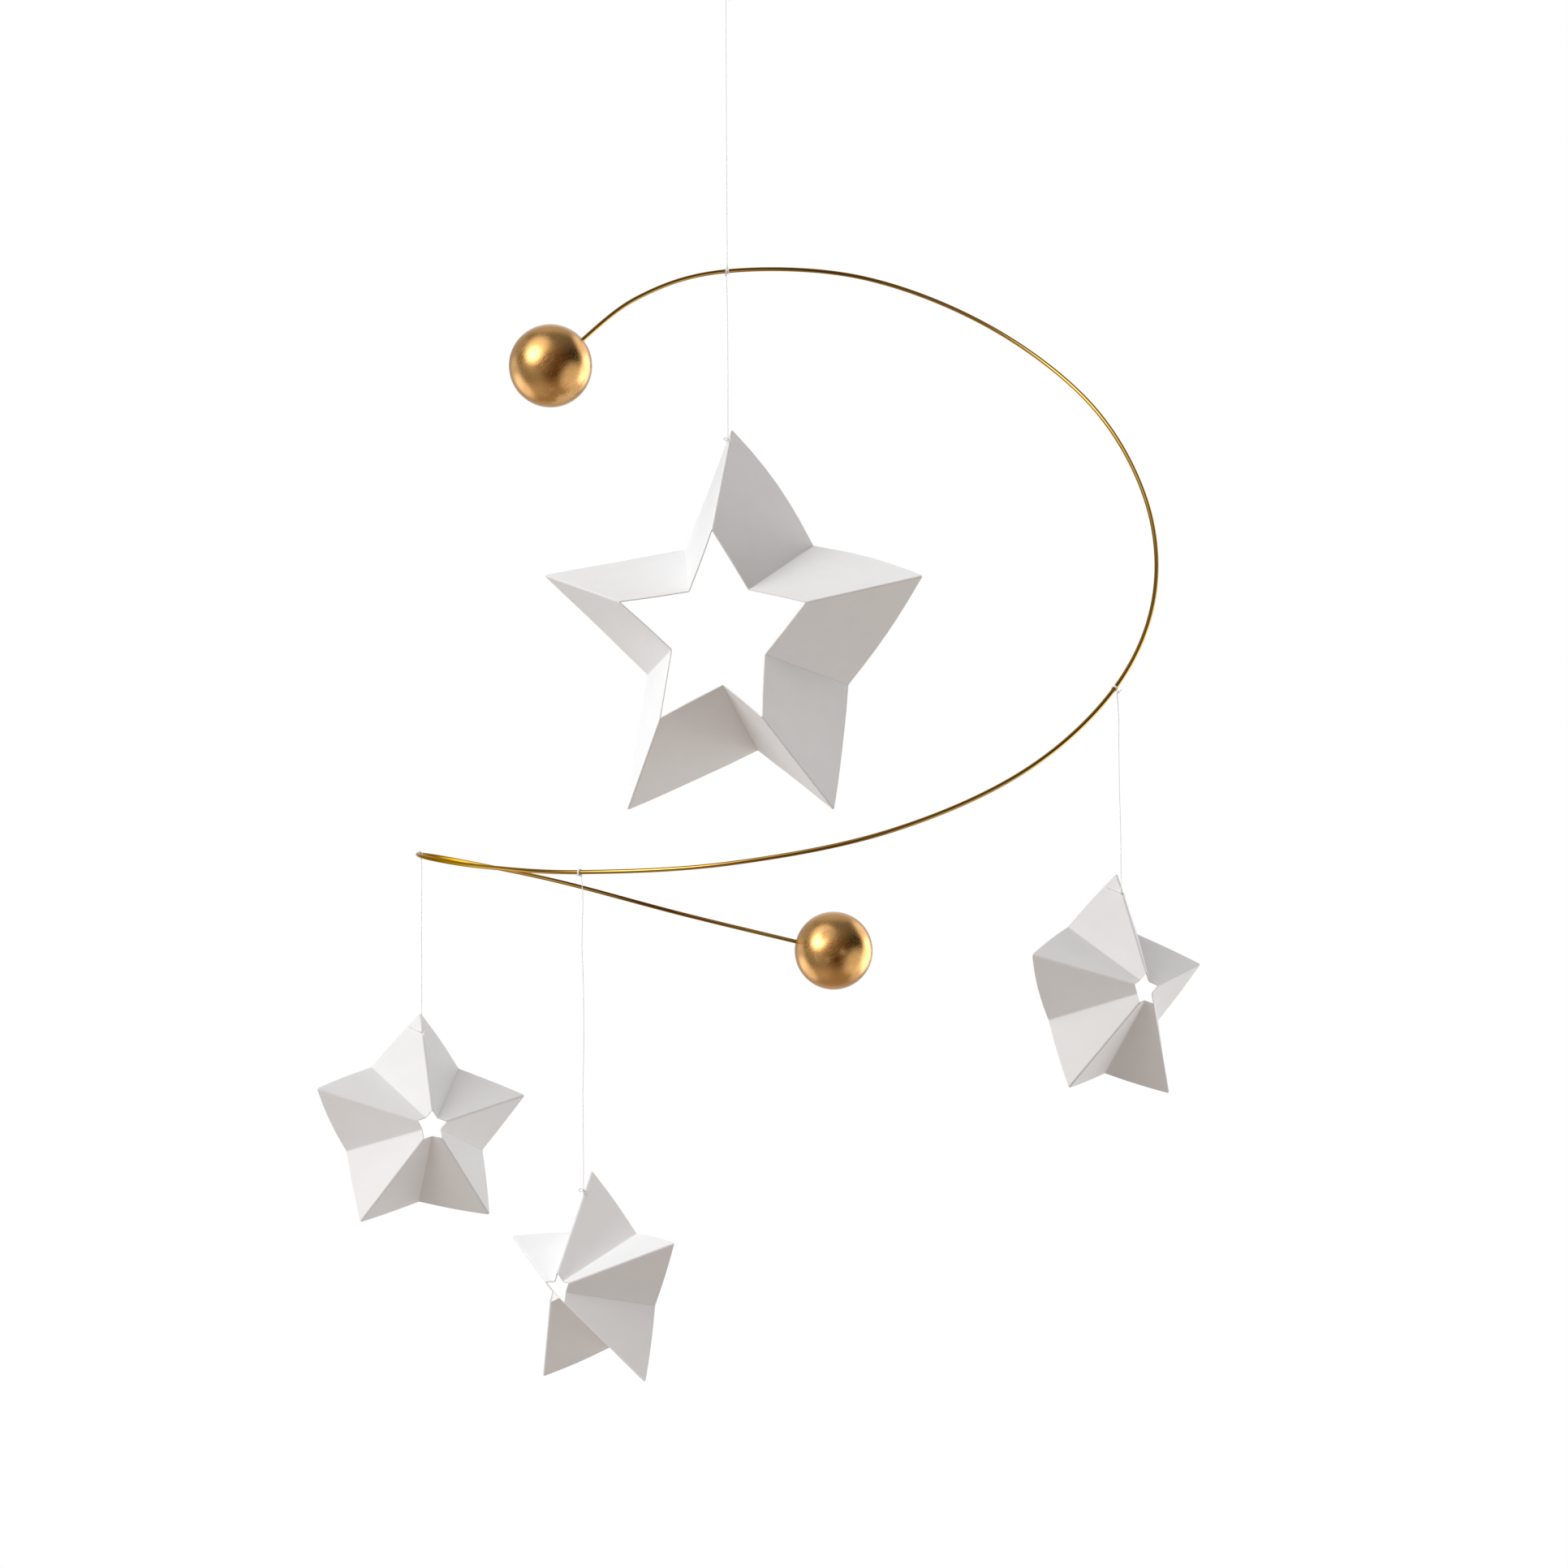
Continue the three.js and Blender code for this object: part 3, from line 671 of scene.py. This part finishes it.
def make_ball(name, node, end, outward, sides=96, rows=64):
    """A hand-turned ball, a hair out of round, with a bore whose lip is eased."""
    bore = WIRE_RADIUS + BORE_PLAY
    mouth = math.acos((bore + BORE_LIP) / BALL_RADIUS)
    profile = []
    for row in range(1, rows + 1):
        angle = -math.pi / 2 + (mouth + math.pi / 2) * row / rows
        profile.append((BALL_RADIUS * math.cos(angle), BALL_RADIUS * math.sin(angle)))
    top = profile[-1][1]
    profile += [(bore + 0.4 * BORE_LIP, top - 0.15 * BORE_LIP), (bore, top - BORE_LIP)]
    profile += [(bore, BALL_RADIUS - BORE_DEPTH - FIT_GAP)]
    mesh = bmesh.new()
    foot = mesh.verts.new((0, 0, -BALL_RADIUS))
    rings = [
        [
            mesh.verts.new((radius * math.cos(turn), radius * math.sin(turn), height))
            for turn in (2 * math.pi * side / sides for side in range(sides))
        ]
        for radius, height in profile
    ]
    bottom = mesh.verts.new((0, 0, profile[-1][1]))
    for side in range(sides):
        following = (side + 1) % sides
        mesh.faces.new((foot, rings[0][following], rings[0][side]))
        for lower, upper in zip(rings, rings[1:]):
            mesh.faces.new((lower[side], lower[following], upper[following], upper[side]))
        mesh.faces.new((rings[-1][side], rings[-1][following], bottom))
    centre = end + outward * (BORE_DEPTH - BALL_RADIUS)
    turn = Vector((0, 0, 1)).rotation_difference(outward)
    for vert in mesh.verts:
        if vert.co.length > BALL_RADIUS - BALL_SKIN:
            vert.co *= 1 + OUT_OF_ROUND * noise.noise(vert.co / OUT_OF_ROUND_SPAN + end)
        vert.co = (centre + turn @ vert.co) * MM
    bmesh.ops.recalc_face_normals(mesh, faces=mesh.faces)
    ball = bpy.data.objects.new(name, bpy.data.meshes.new(name))
    mesh.to_mesh(ball.data)
    mesh.free()
    bpy.context.scene.collection.objects.link(ball)
    ball.data.materials.append(LEAF)
    ball.data.shade_smooth()
    ball.data.set_sharp_from_angle(angle=math.radians(BORE_EDGE_ANGLE))
    seat(ball, "swirl", "gilded_wood", node)


# Folded stars

def star_folds(star):
    """The folds from the top tip, clockwise from the front: way, outer reach and inner reach."""
    cut = star["cut"]
    arm_angle = 360 / ARMS
    ridge = math.radians(star["fold"])
    flat = math.cos(math.radians(arm_angle / 2))
    across, along = math.cos(ridge) * flat, math.sin(ridge)
    valley = math.atan2(along, across) + math.acos(flat / math.hypot(across, along))
    folds = []
    for arm in range(ARMS):
        tip = math.radians(90 - arm_angle * arm + star["tips"][arm])
        notch = math.radians(90 - arm_angle * (arm + 0.5) + star["notches"][arm])
        for turn, slope, outer, inner in (
            (tip, ridge, cut["tip"], cut["hole_tip"]),
            (notch, valley, cut["notch"], cut["hole_notch"]),
        ):
            level = math.cos(slope)
            way = Vector((level * math.cos(turn), math.sin(slope), level * math.sin(turn)))
            folds.append((way, outer, inner))
    return folds


def facet_normals(folds):
    """The front-facing normal of each facet."""
    following = folds[1:] + folds[:1]
    return [-way.cross(after).normalized() for (way, _, _), (after, _, _) in zip(folds, following)]


def star_sheet(star, folds, normals):
    """The middle of the card: a grid over each facet, finest along its folds, which are rounded.
    Returns its places, its faces and how near each place is to a fold."""
    cut = star["cut"]
    rows = cut["rows"]
    # across a facet: millimetres from either fold, then shares of what lies between
    near = (0, 0.1, 0.25, 0.45, 0.8)
    middle = (0.2, 0.35, 0.5, 0.65, 0.8)
    across = len(near) * 2 + len(middle) - 1
    strays = random.Random(star["name"])
    places, fold_shade = [], []
    for index, (way, outer, inner) in enumerate(folds):
        following = (index + 1) % len(folds)
        after, outer_after, inner_after = folds[following]
        normal = normals[index]
        before_normal, after_normal = normals[index - 1], normals[following]
        corner, corner_after = way * outer, after * outer_after
        outward = (corner_after - corner).cross(normal).normalized()
        if outward.dot(corner) < 0:
            outward.negate()
        sag = cut["sag"] * strays.uniform(-1, 1)
        folded = []
        for neighbour, sign in ((before_normal, -1), (after_normal, 1)):
            # a ridge is rounded towards the back and a valley towards the front
            ridge = (index % 2 == 0) == (sign < 0)
            mitre = (neighbour + normal).normalized()
            half = 0.5 * normal.angle(neighbour)
            folded.append(((-1 if ridge else 1) * mitre * math.tan(half), ridge))
        for column in range(across):
            for row in range(rows + 1):
                share = row / rows
                left = way * (inner + (outer - inner) * share)
                right = after * (inner_after + (outer_after - inner_after) * share)
                chord = (right - left).length
                if column < len(near):
                    t = near[column] / chord
                elif column < len(near) + len(middle):
                    edge = near[-1] / chord
                    t = edge + (1 - 2 * edge) * middle[column - len(near)]
                else:
                    t = 1 - near[across - column] / chord
                place = left.lerp(right, t)
                place += outward * cut["bulge"] * star["bows"][index] * 4 * t * (1 - t) * share**2
                place += normal * sag * 16 * (t * (1 - t)) ** 2 * (0.35 + 0.65 * share)
                reach = 0.0
                for distance, (lift, ridge) in ((t * chord, folded[0]), ((1 - t) * chord, folded[1])):
                    if distance < FOLD_REACH:
                        place += lift * (FOLD_REACH - distance) ** 2 / (2 * FOLD_REACH)
                        if ridge and row == rows:  # a tip is never quite sharp
                            place -= place.normalized() * TIP_BLUNTING * (1 - distance / FOLD_REACH) ** 2
                    # nearness to a fold, which the card's colour turns into painted shade
                    reach = max(reach, math.exp(-((distance / FOLD_SHADE_SPAN) ** 2)))
                places.append(place)
                fold_shade.append(reach)
    faces = []
    columns = len(folds) * across
    for column in range(columns):
        for row in range(rows):
            a = column * (rows + 1) + row
            b = ((column + 1) % columns) * (rows + 1) + row
            faces.append((a, b, b + 1, a + 1))
    return places, faces, fold_shade


def hang_star(star):
    """Where the star hangs: its turning, the place of its pierced hole in its own frame and in the
    part's, its knot, and the middle of its turns round the wire."""
    cut = star["cut"]
    folds = star_folds(star)
    normals = facet_normals(folds)
    direction = wire_direction(star["station"])
    hitch = WIRE_POINTS[star["station"]].copy()
    if star["name"] == "large":  # beside the suspension thread's turns
        hitch -= direction * (1.5 * THREAD + FIT_GAP)
    pierced = folds[0][0] * (cut["tip"] - cut["pierce"])
    # the last fold and the last facet are those to the left of the top fold
    tip, notch = folds[0][0] * cut["tip"], folds[-1][0] * cut["notch"]
    edge = tip + (notch - tip).normalized() * cut["tie"]
    knot = pierced.lerp(edge, TIE_KNOT_SHARE) + normals[-1] * (CARD / 2 + FIT_GAP + KNOT_DIAMETER / 2)
    turn = (
        Matrix.Rotation(math.radians(star["yaw"]), 3, "Z")
        @ Matrix.Rotation(math.radians(star["pitch"]), 3, "X")
        @ Matrix.Rotation(math.radians(star["roll"]), 3, "Y")
    )
    aside = turn @ (knot - pierced)
    hole = Vector((hitch.x + star["aside"] - aside.x, hitch.y - aside.y, hitch.z - star["drop"]))
    # tied closer to the card than the part's plain round knot, and as far aside as in the photograph
    knot += turn.inverted() @ Vector((star["shift"], 0, 0)) - normals[-1] * TIE_KNOT_PULL
    return {
        "folds": folds, "normals": normals, "hitch": hitch, "direction": direction, "pierced": pierced,
        "edge": edge, "knot": knot, "turn": turn, "hole": hole,
    }


def in_part(hung, place):
    """A place in a star's own frame, in the part's frame."""
    return hung["hole"] + hung["turn"] @ (Vector(place) - hung["pierced"])


def make_star(star, hung):
    """The folded card, cut to thickness and pierced for its thread."""
    places, faces, fold_shade = star_sheet(star, hung["folds"], hung["normals"])
    name = f"{star['name']}_card_star"
    mesh = bpy.data.meshes.new(name)
    mesh.from_pydata([in_part(hung, place) * MM for place in places], [], faces)
    # how near each place is to a fold, where shade is painted on the card
    mesh.attributes.new("fold", "FLOAT", "POINT").data.foreach_set("value", fold_shade)
    mesh.materials.append(WHITE_CARD)
    mesh.materials.append(CUT_EDGE)
    sheet = bpy.data.objects.new(name, mesh)
    bpy.context.scene.collection.objects.link(sheet)
    thick = sheet.modifiers.new("card", "SOLIDIFY")
    thick.thickness = CARD * MM
    thick.offset = 0
    thick.use_even_offset = True
    thick.material_offset_rim = 1
    awl = bmesh.new()
    bmesh.ops.create_cone(
        awl, cap_ends=True, segments=16, depth=AWL_LENGTH * MM,
        radius1=AWL_RADIUS * MM, radius2=AWL_RADIUS * MM,
        matrix=Matrix.Translation(hung["hole"] * MM)
        @ (hung["turn"] @ Matrix.Rotation(math.pi / 2, 3, "X")).to_4x4(),
    )
    awl_object = bpy.data.objects.new("awl", bpy.data.meshes.new("awl"))
    awl.to_mesh(awl_object.data)
    awl.free()
    bpy.context.scene.collection.objects.link(awl_object)
    pierce = sheet.modifiers.new("pierce", "BOOLEAN")
    pierce.operation = "DIFFERENCE"
    pierce.solver = "MANIFOLD"
    pierce.object = awl_object
    card = plain_mesh(sheet, name)
    bpy.data.objects.remove(awl_object)
    card.data.shade_smooth()
    card.data.set_sharp_from_angle(angle=math.radians(CUT_EDGE_ANGLE))
    seat(card, f"{star['name']}_hung", "white_card", f"{star['name']}_star")


def make_tie(star, hung):
    """The thread's knot, its loop round the left edge and back through the hole, and its end."""
    facing = hung["normals"][-1]
    pierced, edge, knot = hung["pierced"], hung["edge"], hung["knot"]
    tip = hung["folds"][0][0] * star["cut"]["tip"]
    outward = (edge - tip).cross(facing).normalized()
    if outward.dot(edge) < 0:
        outward.negate()
    lift = CARD / 2 + KNOT_THREAD / 2
    clear = Vector((0, lift / -facing.y, 0))

    def over(share, rise):
        return pierced.lerp(edge, share) + facing * rise

    loop = [
        knot, over(0.3, lift + 0.3), over(0.6, lift), over(0.9, lift),
        edge + outward * (lift + star["cut"]["bulge"]), over(0.85, -lift), over(0.5, -lift),
        pierced + clear, pierced, pierced - clear * 1.3, knot,
    ]
    routes = [[in_part(hung, place) for place in smooth_route(loop, steps=12, slack=0.3)]]
    middle = in_part(hung, knot)
    routes.append(overhand_knot(middle, hung["turn"] @ facing, TIE_KNOT))
    out = in_part(hung, pierced - clear * 1.2)
    out_places = (0, 0, 0), (0.15, -0.25, -0.3), (0.25, -0.3, -0.95)
    routes.append(smooth_route([out + Vector(place) for place in out_places]))
    if star["tie_end"]:
        routes.append(smooth_route([middle + Vector(place) for place in star["tie_end"]]))
    tie = thread_piece(f"{star['name']}_tie", routes, KNOT_SWELL)
    seat(tie, f"{star['name']}_hung", "cotton_thread", f"{star['name']}_star_tie")


def make_hitch(star, hung):
    """Turns round the wire with a knot underneath and a short tail."""
    turns = star["cut"]["turns"]
    middle = hung["hitch"].copy()
    if star["name"] == "large":
        middle += hung["direction"] * HITCH_PUSH
    under = hung["hitch"] + Vector((star["aside"] + star["shift"], 0, -HITCH_KNOT_DROP))
    routes = [turns_round_wire(middle, hung["direction"], turns + 0.5, start=-90)]
    routes.append(overhand_knot(under, (0, -1, 0), HITCH_KNOT))
    if star["hitch_end"]:
        routes.append(smooth_route([under + Vector(place) for place in star["hitch_end"]]))
    hitch = thread_piece(f"{star['name']}_hitch", routes, KNOT_SWELL)
    seat(hitch, f"{star['name']}_turns", "cotton_thread", f"{star['name']}_star_hitch")


def make_star_thread(star, hung):
    """The thread from the wire down to the star's knot, nearly straight."""
    knot = in_part(hung, hung["knot"])
    top = Vector((knot.x, knot.y, hung["hitch"].z - THREAD_TOP_DROP))
    foot = Vector((knot.x, knot.y, knot.z + THREAD_FOOT_RISE))
    wander = star["wander"]
    points = [
        top.lerp(foot, step / (len(wander) - 1)) + Vector((stray, 0, 0)) for step, stray in enumerate(wander)
    ]
    route = smooth_route(points, steps=6)
    name = f"{star['name']}_thread"
    thread = thread_piece(name, [route])
    seat(thread, f"{star['name']}_line", "cotton_thread", f"{star['name']}_star_thread")
    return thread, route


def make_suspension():
    """The thread that carries everything, with a knot on the wire, a knot above and a loop to hang it by."""
    side, height = HANGING_LOOP_SIDE, HANGING_LOOP_HEIGHT
    foot = THREAD / 2 + FIT_GAP / 2
    right_half = [
        (side * 0.68, -height * 0.08), (side, -height * 0.36), (side * 0.55, -height * 0.72), (foot, -height),
    ]
    left_half = [(-x, z) for x, z in reversed(right_half)]
    loop_route = smooth_route([(x, 0, z) for x, z in [*left_half, (0, 0), *right_half]], steps=10)
    lead_places = (foot, 0, -height), (foot * 0.6, 0, -height - 0.8), (0.1, 0, -height - 1.4)
    lead_out = smooth_route(lead_places, steps=4)
    lead_in = [Vector((-place.x, 0, place.z)) for place in reversed(lead_out)]
    loop = thread_piece("thread_loop", [lead_in + loop_route[1:-1] + lead_out])
    seat(loop, "loop", "cotton_thread", "hanging_loop")
    upper_centre = Vector((0, 0, -height - FIT_GAP - KNOT_LENGTH / 2))
    end_places = (0, 0, 0), (0.9, -0.2, -0.5), (1.5, -0.3, -1.6)
    end = smooth_route([upper_centre + Vector(place) for place in end_places])
    upper = thread_piece("loop_overhand_knot", [overhand_knot(upper_centre, (0, -1, 0)), end])
    seat(upper, "upper_knot", "cotton_thread", "loop_knot")
    above_turns = WIRE_RADIUS + 1.5 * THREAD + FIT_GAP
    lower_centre = Vector((0, 0, -SUSPENSION_DROP + above_turns + KNOT_LENGTH / 2))
    tied_at = lower_centre - Vector((0, 0, WIRE_KNOT_DROP))
    neck = smooth_route([tied_at, tied_at.lerp(lower_centre, 0.5), lower_centre])
    wire_knot = overhand_knot(tied_at, (0, -1, 0), WIRE_KNOT)
    lower = thread_piece("wire_overhand_knot", [wire_knot, neck], KNOT_SWELL)
    seat(lower, "wire_knot", "cotton_thread", "suspension_knot")
    turns = turns_round_wire(
        SUSPENSION, wire_direction(SUSPENSION_STATION), SUSPENSION_TURNS, start=90,
    )
    hitch = thread_piece("suspension_turns", [turns], KNOT_SWELL)
    seat(hitch, "wire_turns", "cotton_thread", "suspension_hitch")
    spans = 15
    points = [lower_centre.lerp(upper_centre, step / spans) for step in range(spans + 1)]
    route = smooth_route(points, steps=4)
    thread = thread_piece("suspension_line", [route])
    seat(thread, "main_line", "cotton_thread", "suspension_thread")


# Floor and light

def pale_floor():
    """Floor paint, rolled on: pale and matt, with a faint mottle."""
    material, tree, shader = new_material("floor_pale_matt")
    place = add_node(tree, "ShaderNodeTexCoord").outputs["Object"]
    mottle = add_node(tree, "ShaderNodeTexNoise", {"Scale": 1.5, "Detail": 2.0}, {"Vector": place})
    tint = add_node(
        tree, "ShaderNodeMix",
        {"data_type": "RGBA", 6: linear("#E9E6E2"), 7: linear("#EFECE8")},
        {"Factor": mottle.outputs["Fac"]},
    )
    tree.links.new(tint.outputs[2], shader.inputs["Base Color"])
    shader.inputs["Roughness"].default_value = 0.9
    return material


def make_floor():
    """A pale floor well below the object."""
    floor = bpy.data.objects.new("floor", bpy.data.meshes.new("floor"))
    sides = (-1, -1), (1, -1), (1, 1), (-1, 1)
    corners = [(x * FLOOR_REACH, y * FLOOR_REACH, FLOOR_LEVEL) for x, y in sides]
    floor.data.from_pydata(corners, [], [(0, 1, 2, 3)])
    floor.data.materials.append(pale_floor())
    bpy.context.scene.collection.objects.link(floor)
    # the panel below stands for its bounce, so the floor only shows and takes the shadow
    floor.visible_diffuse = False
    floor.visible_glossy = False
    floor.visible_shadow = False


def make_light():
    """Soft light from the panels, and the white backdrop."""
    world = bpy.data.worlds.new("studio")
    bpy.context.scene.world = world
    world.use_nodes = True
    tree = world.node_tree
    tree.nodes.clear()
    way = add_node(tree, "ShaderNodeTexCoord").outputs["Generated"]
    total = None
    for middle, (fade, full), colour, strength in PANELS:
        facing = add_node(
            tree, "ShaderNodeVectorMath", {"operation": "DOT_PRODUCT", 1: Vector(middle).normalized()},
            {0: way},
        )
        glow = add_node(
            tree, "ShaderNodeMapRange",
            {"interpolation_type": "SMOOTHSTEP", "From Min": fade, "From Max": full, "To Max": strength},
            {"Value": facing.outputs["Value"]},
        )
        tinted = add_node(
            tree, "ShaderNodeVectorMath", {"operation": "SCALE", 0: linear(colour)[:3]},
            {"Scale": glow.outputs[0]},
        )
        if total:
            tinted = add_node(
                tree, "ShaderNodeVectorMath", {"operation": "ADD"}, {0: total, 1: tinted.outputs[0]},
            )
        total = tinted.outputs[0]
    studio = add_node(tree, "ShaderNodeBackground", {"Strength": 1.0}, {"Color": total})
    white = add_node(tree, "ShaderNodeBackground", {"Color": (1, 1, 1, 1), "Strength": 1.0})
    # the white backdrop is what the camera sees, and what the metal shows of the space behind it
    rays = add_node(tree, "ShaderNodeLightPath")
    away = add_node(tree, "ShaderNodeSeparateXYZ", links={0: way})
    behind = add_node(
        tree, "ShaderNodeMapRange",
        {
            "interpolation_type": "SMOOTHSTEP", "From Min": BACKDROP_FADE[0], "From Max": BACKDROP_FADE[1],
            "To Max": BACKDROP_SHARE,
        },
        {"Value": away.outputs["Y"]},
    )
    mirrored = add_node(
        tree, "ShaderNodeMath", {"operation": "MULTIPLY"},
        {0: rays.outputs["Is Glossy Ray"], 1: behind.outputs[0]},
    )
    seen = add_node(
        tree, "ShaderNodeMath", {"operation": "MAXIMUM"},
        {0: rays.outputs["Is Camera Ray"], 1: mirrored.outputs[0]},
    )
    shown = add_node(
        tree, "ShaderNodeMixShader", links={0: seen.outputs[0], 1: studio.outputs[0], 2: white.outputs[0]},
    )
    add_node(tree, "ShaderNodeOutputWorld", links={"Surface": shown.outputs[0]})


# The whole mobile

make_suspension()
for star in STARS:
    hung = hang_star(star)
    thread, route = make_star_thread(star, hung)
    make_hitch(star, hung)
    make_tie(star, hung)
    make_star(star, hung)
make_wire()
make_ball("upper_gilded_ball", "upper_ball", WIRE_POINTS[0], wire_direction(0))
make_ball("lower_gilded_ball", "lower_ball", WIRE_POINTS[-1], -wire_direction(len(WIRE_POINTS) - 1))
make_floor()
make_light()

bpy.context.scene.view_settings.view_transform = "Standard"
